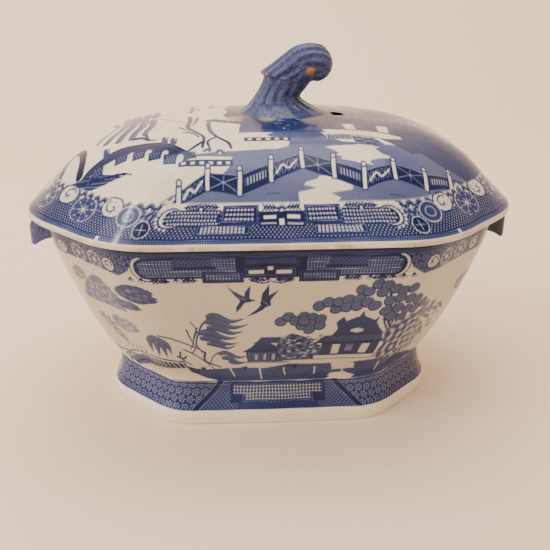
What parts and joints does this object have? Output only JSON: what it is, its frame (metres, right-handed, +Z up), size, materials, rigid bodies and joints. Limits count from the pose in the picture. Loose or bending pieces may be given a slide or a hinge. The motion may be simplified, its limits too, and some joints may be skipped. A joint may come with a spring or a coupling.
{
  "type": "soup tureen",
  "caption": "Canted rectangular soup bowl on a flared foot, with hooked end handles and a lift-off domed lid that has a curled knob and a steam vent.",
  "frame": {"origin": "centre of the foot's underside", "axes": "+Z up, +X along the length towards the side that the knob curls to, +Y to the back"},
  "size_m": [0.355, 0.2366, 0.266],
  "materials": {
    "printed_glaze": "cream earthenware with a dark and mid blue transfer print under a clear gloss glaze",
    "cobalt_glaze": "mottled cobalt blue under a clear gloss glaze",
    "cream_glaze": "plain cream gloss glaze, lightly stained"
  },
  "bodies": {
    "tureen": {"bowl": "printed_glaze", "foot": "printed_glaze", "handle_left": "cobalt_glaze", "handle_right": "cobalt_glaze"},
    "cover": {"lid": "printed_glaze", "lid_flange": "cream_glaze", "finial": "cobalt_glaze"}
  },
  "joints": [
    {"name": "lid_lift", "type": "slide", "parent": "tureen", "child": "cover", "axis": [0, 0, 1], "range_m": [0, 0.15]}
  ]
}
